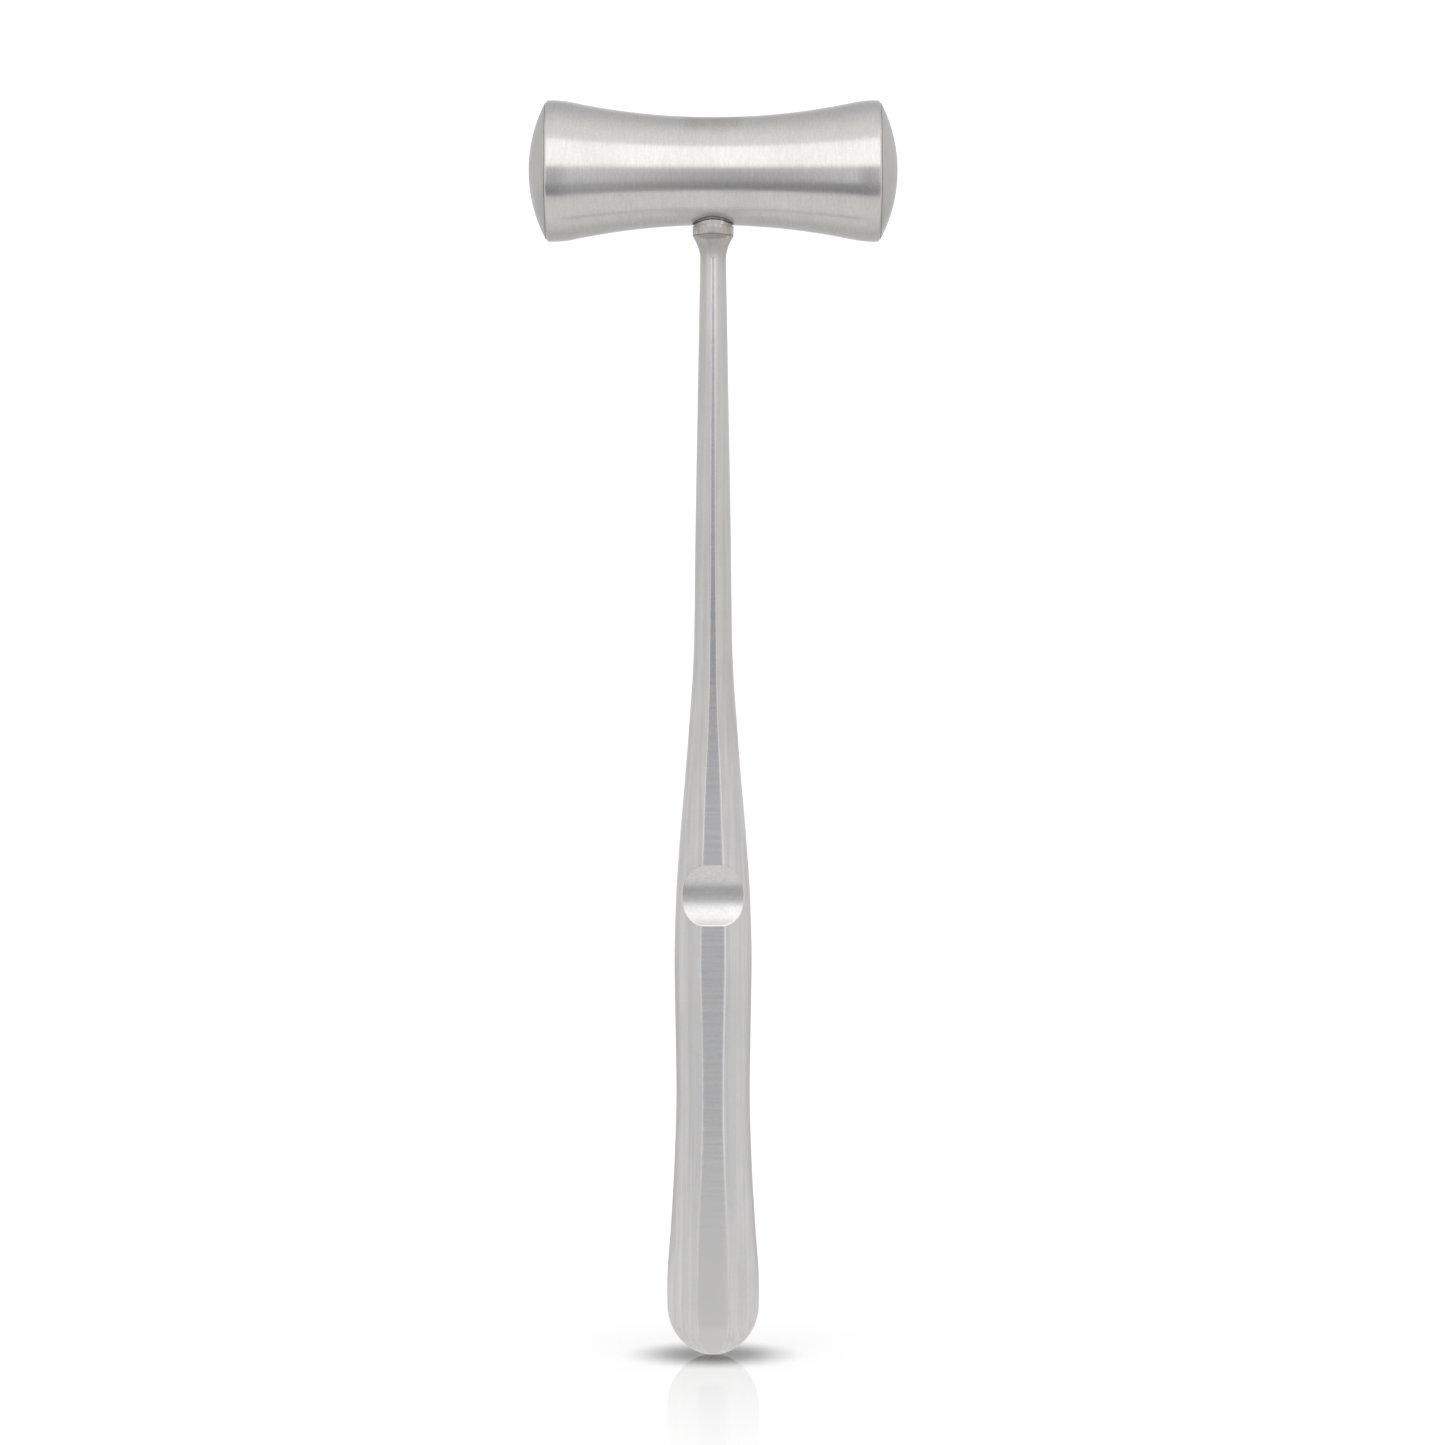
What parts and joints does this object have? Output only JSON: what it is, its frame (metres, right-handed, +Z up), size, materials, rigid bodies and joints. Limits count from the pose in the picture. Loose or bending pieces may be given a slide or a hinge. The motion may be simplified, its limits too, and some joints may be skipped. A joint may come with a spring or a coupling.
{
  "type": "surgical mallet",
  "caption": "All-metal surgical mallet with a waisted, lead-weighted head, domed screwed-in striking faces and a slim forged handle with a flat-sided grip and thumb scoops.",
  "frame": {"origin": "lowest point of the handle's rounded butt, on the handle's centre line", "axes": "+Z up the handle towards the head, +X along the head towards its right face, -Y towards the front of the grip"},
  "size_m": [0.0706, 0.0268, 0.24],
  "materials": {
    "head_steel": "turned satin, with fine lines around the head",
    "face_steel": "even satin, turned in fine rings",
    "handle_steel": "satin along its length, ground across on the flats",
    "collar_steel": "coarser, darker turned band",
    "lead": "dull cast",
    "packing": "matt white sealing ring"
  },
  "bodies": {
    "root": {"head_body": "head_steel", "face_cap_left": "face_steel", "face_cap_right": "face_steel", "cap_gasket_left": "packing", "cap_gasket_right": "packing", "ballast_slug_left": "lead", "ballast_slug_right": "lead", "cap_lock_pin_left": "face_steel", "cap_lock_pin_right": "face_steel", "crown_nut": "head_steel", "neck_collar": "collar_steel", "handle": "handle_steel"}
  },
  "joints": []
}
